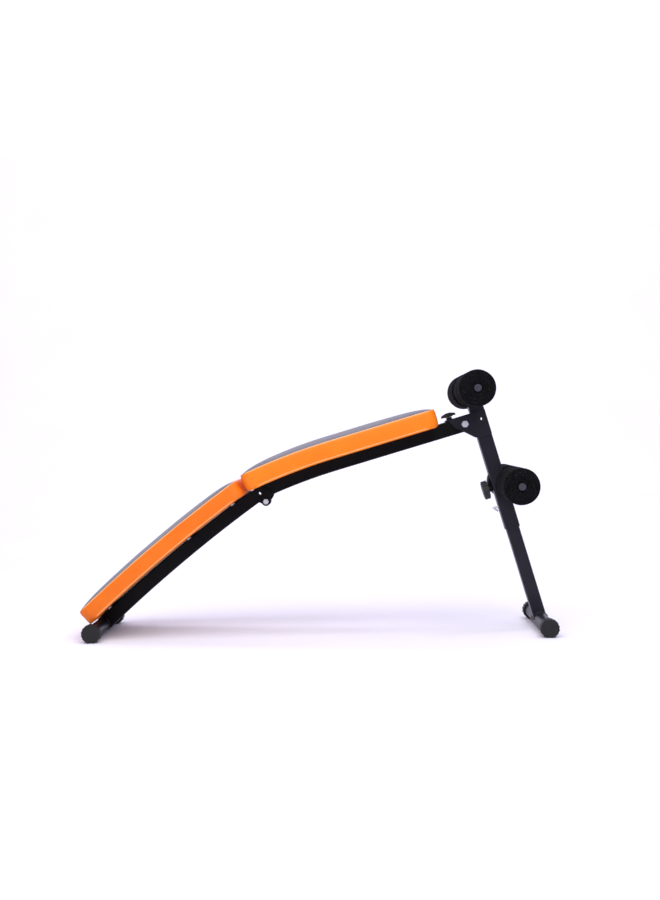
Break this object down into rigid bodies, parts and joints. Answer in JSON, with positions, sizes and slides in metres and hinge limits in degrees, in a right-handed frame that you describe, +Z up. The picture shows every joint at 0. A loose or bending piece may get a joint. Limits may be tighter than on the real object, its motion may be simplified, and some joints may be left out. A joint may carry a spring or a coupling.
{
  "type": "decline sit up bench",
  "caption": "Folding decline sit up bench with two padded boards on curved tubes, a telescopic front leg and foam leg rollers.",
  "frame": {"origin": "on the floor, under the centre of the bench's box", "axes": "+X from the head end to the leg end, +Y across the bench, +Z up"},
  "size_m": [1.2643, 0.4282, 0.6991],
  "materials": {
    "powder_coat_black": "fine textured black powder coat",
    "zinc_hardware": "bright zinc plating",
    "orange_vinyl": "soft-touch orange vinyl",
    "grey_vinyl": "soft-touch grey vinyl",
    "plywood": "bare plywood",
    "pad_foam": "cream cushion foam",
    "roller_foam": "charcoal closed-cell foam",
    "black_plastic": "moulded black plastic",
    "plug_plastic": "dark grey glossy plastic"
  },
  "bodies": {
    "seat_frame": {"front_main_tube": "powder_coat_black", "mid_hinge_lug": "powder_coat_black", "mid_hinge_bolt": "zinc_hardware", "mid_hinge_nut": "zinc_hardware", "front_strap_low": "powder_coat_black", "front_strap_high": "powder_coat_black", "front_pad_board": "plywood", "front_pad_foam": "pad_foam", "front_pad_band": "orange_vinyl", "front_pad_top": "grey_vinyl", "front_pad_screws": "zinc_hardware", "leg_pivot_bolt": "zinc_hardware", "leg_pivot_nut": "zinc_hardware"},
    "head_frame": {"rear_main_tube": "powder_coat_black", "hinge_cheek_near": "powder_coat_black", "hinge_cheek_far": "powder_coat_black", "hinge_stop_block": "powder_coat_black", "rear_foot_tube": "powder_coat_black", "rear_foot_caps": "black_plastic", "rear_strap_low": "powder_coat_black", "rear_strap_mid": "powder_coat_black", "rear_strap_high": "powder_coat_black", "rear_pad_board": "plywood", "rear_pad_foam": "pad_foam", "rear_pad_band": "orange_vinyl", "rear_pad_top": "grey_vinyl", "rear_pad_screws": "zinc_hardware"},
    "leg": {"leg_sleeve": "powder_coat_black", "sleeve_top_plug": "black_plastic", "leg_plate_near": "powder_coat_black", "leg_plate_far": "powder_coat_black", "clamp_bridge": "powder_coat_black", "star_knob_boss": "powder_coat_black", "upper_roller_bar": "powder_coat_black", "lower_roller_bar": "powder_coat_black", "lower_bar_bracket": "powder_coat_black", "roller_bar_plugs": "plug_plastic"},
    "leg_end": {"inner_leg": "powder_coat_black", "front_foot_tube": "powder_coat_black", "front_foot_caps": "black_plastic"},
    "upper_near_roller": {"roller_upper_near": "roller_foam"},
    "upper_far_roller": {"roller_upper_far": "roller_foam"},
    "lower_near_roller": {"roller_lower_near": "roller_foam"},
    "lower_far_roller": {"roller_lower_far": "roller_foam"},
    "wing_clamp": {"wing_knob": "black_plastic", "wing_screw": "zinc_hardware"},
    "star_clamp": {"star_knob": "black_plastic", "star_screw": "zinc_hardware"},
    "height_lock": {"height_pin": "zinc_hardware"}
  },
  "joints": [
    {"name": "mid_fold", "type": "hinge", "parent": "seat_frame", "child": "head_frame", "pos_m": [-0.1415, 0, 0.3559], "axis": [0, -1, 0], "range_deg": [0, 75]},
    {"name": "leg_fold", "type": "hinge", "parent": "seat_frame", "child": "leg", "pos_m": [0.4026, 0, 0.5587], "axis": [0, 1, 0], "range_deg": [0, 75]},
    {"name": "leg_height", "type": "slide", "parent": "leg", "child": "leg_end", "axis": [-0.279, 0, 0.9603], "range_m": [0, 0.09]},
    {"name": "height_pin_pull", "type": "slide", "parent": "leg", "child": "height_lock", "axis": [-0.9603, 0, -0.279], "range_m": [0, 0.047]},
    {"name": "star_knob_turn", "type": "hinge", "parent": "leg", "child": "star_clamp", "pos_m": [0.45859, 0, 0.37741], "axis": [-0.9603, 0, -0.279], "range_deg": [0, 720]},
    {"name": "wing_knob_turn", "type": "hinge", "parent": "leg", "child": "wing_clamp", "pos_m": [0.3601, 0, 0.57842], "axis": [-0.279, 0, 0.9603], "range_deg": [0, 720]},
    {"name": "upper_near_roller_spin", "type": "hinge", "parent": "leg", "child": "upper_near_roller", "pos_m": [0.42036, 0, 0.65059], "axis": [0, 1, 0], "continuous": true},
    {"name": "upper_far_roller_spin", "type": "hinge", "parent": "leg", "child": "upper_far_roller", "pos_m": [0.42036, 0, 0.65059], "axis": [0, 1, 0], "continuous": true},
    {"name": "lower_near_roller_spin", "type": "hinge", "parent": "leg", "child": "lower_near_roller", "pos_m": [0.53079, 0, 0.39485], "axis": [0, 1, 0], "continuous": true},
    {"name": "lower_far_roller_spin", "type": "hinge", "parent": "leg", "child": "lower_far_roller", "pos_m": [0.53079, 0, 0.39485], "axis": [0, 1, 0], "continuous": true}
  ]
}
